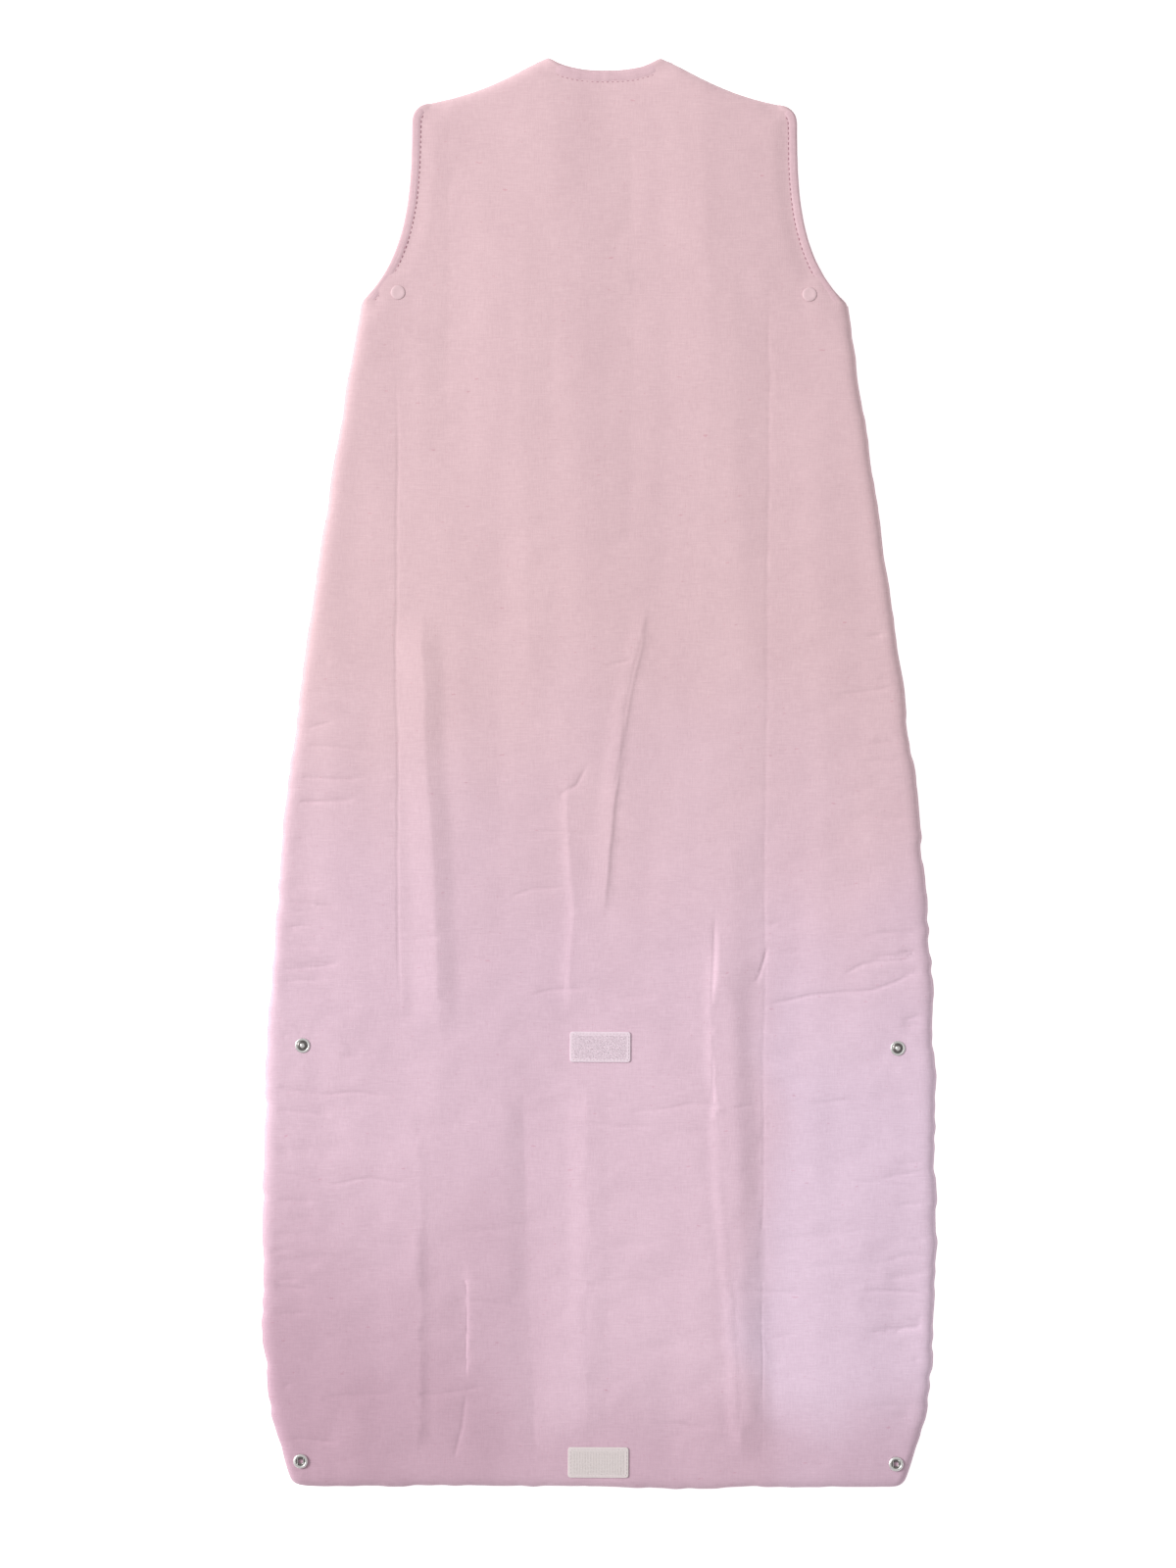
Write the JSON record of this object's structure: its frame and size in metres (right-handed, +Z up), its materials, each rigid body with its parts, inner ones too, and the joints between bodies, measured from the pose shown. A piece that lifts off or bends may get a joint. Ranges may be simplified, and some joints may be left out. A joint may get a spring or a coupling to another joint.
{
  "type": "baby sleeping bag",
  "caption": "Sleeveless padded baby sleeping bag with a front zip and a foot end that folds up over the back and fastens with press studs and hook-and-loop.",
  "frame": {"origin": "centre of the underside, on the face the bag lies on", "axes": "+X across the bag towards the right-hand side seam as seen from above, +Y from the hem to the neck, +Z up out of the back face"},
  "size_m": [0.517, 1.1, 0.0228],
  "materials": {
    "outer_cloth": "slubby plain-weave cotton",
    "lining_cloth": "smooth plain-weave cotton",
    "wadding": "lofty fibre",
    "binding": "folded cotton tape with a topstitch",
    "zip_tape": "woven tape",
    "zip_teeth": "satin coil",
    "plastic_snap": "satin moulded",
    "metal_snap": "nickel-plated",
    "zip_metal": "nickel-plated",
    "loop_tape": "brushed loop",
    "hook_tape": "fine hook",
    "label": "plain woven satin, blank"
  },
  "bodies": {
    "bag": {"back_outer": "outer_cloth", "back_wadding": "wadding", "back_lining": "lining_cloth", "front_left_outer": "outer_cloth", "front_left_wadding": "wadding", "front_left_lining": "lining_cloth", "front_right_outer": "outer_cloth", "front_right_wadding": "wadding", "front_right_lining": "lining_cloth", "shoulder_seams": "outer_cloth", "left_side_seam": "outer_cloth", "right_side_seam": "outer_cloth", "neck_binding": "binding", "left_armhole_binding": "binding", "right_armhole_binding": "binding", "zip_tape_left": "zip_tape", "zip_tape_right": "zip_tape", "zip_teeth_left": "zip_teeth", "zip_teeth_right": "zip_teeth", "zip_top_stops": "zip_metal", "zip_garage": "lining_cloth", "zip_underlay": "lining_cloth", "underarm_back_caps": "plastic_snap", "underarm_sockets": "plastic_snap", "underarm_front_caps": "plastic_snap", "underarm_studs": "plastic_snap", "back_press_studs": "metal_snap", "back_stud_prong_rings": "metal_snap", "loop_patch": "loop_tape", "neck_label": "label", "care_label": "label"},
    "foot": {"foot_back_outer": "outer_cloth", "foot_back_wadding": "wadding", "foot_back_lining": "lining_cloth", "foot_front_left_outer": "outer_cloth", "foot_front_left_wadding": "wadding", "foot_front_left_lining": "lining_cloth", "foot_front_right_outer": "outer_cloth", "foot_front_right_wadding": "wadding", "foot_front_right_lining": "lining_cloth", "foot_left_side_seam": "outer_cloth", "foot_right_side_seam": "outer_cloth", "hem_seam": "outer_cloth", "foot_zip_tape_left": "zip_tape", "foot_zip_tape_right": "zip_tape", "foot_zip_teeth_left": "zip_teeth", "foot_zip_teeth_right": "zip_teeth", "foot_zip_bottom_stops": "zip_metal", "foot_zip_underlay": "lining_cloth", "hem_press_sockets": "metal_snap", "hem_socket_prong_rings": "metal_snap", "hook_patch": "hook_tape"},
    "top_slider": {"top_slider": "zip_metal"},
    "top_pull": {"top_pull_tab": "zip_metal"},
    "bottom_slider": {"bottom_slider": "zip_metal"},
    "bottom_pull": {"bottom_pull_tab": "zip_metal"}
  },
  "joints": [
    {"name": "length_fold", "type": "hinge", "parent": "bag", "child": "foot", "pos_m": [0, -0.37, 0.0216], "axis": [-1, 0, 0], "range_deg": [0, 179.9]},
    {"name": "top_slide", "type": "slide", "parent": "bag", "child": "top_slider", "axis": [0, -1, 0], "range_m": [0, 0.81]},
    {"name": "top_pull_hinge", "type": "hinge", "parent": "top_slider", "child": "top_pull", "pos_m": [0, 0.4677, 0.00145], "axis": [1, 0, 0], "range_deg": [0, 160]},
    {"name": "bottom_slide", "type": "slide", "parent": "foot", "child": "bottom_slider", "axis": [0, 1, 0], "range_m": [0, 0.137]},
    {"name": "bottom_pull_hinge", "type": "hinge", "parent": "bottom_slider", "child": "bottom_pull", "pos_m": [0, -0.5317, 0.00145], "axis": [-1, 0, 0], "range_deg": [0, 160]}
  ]
}
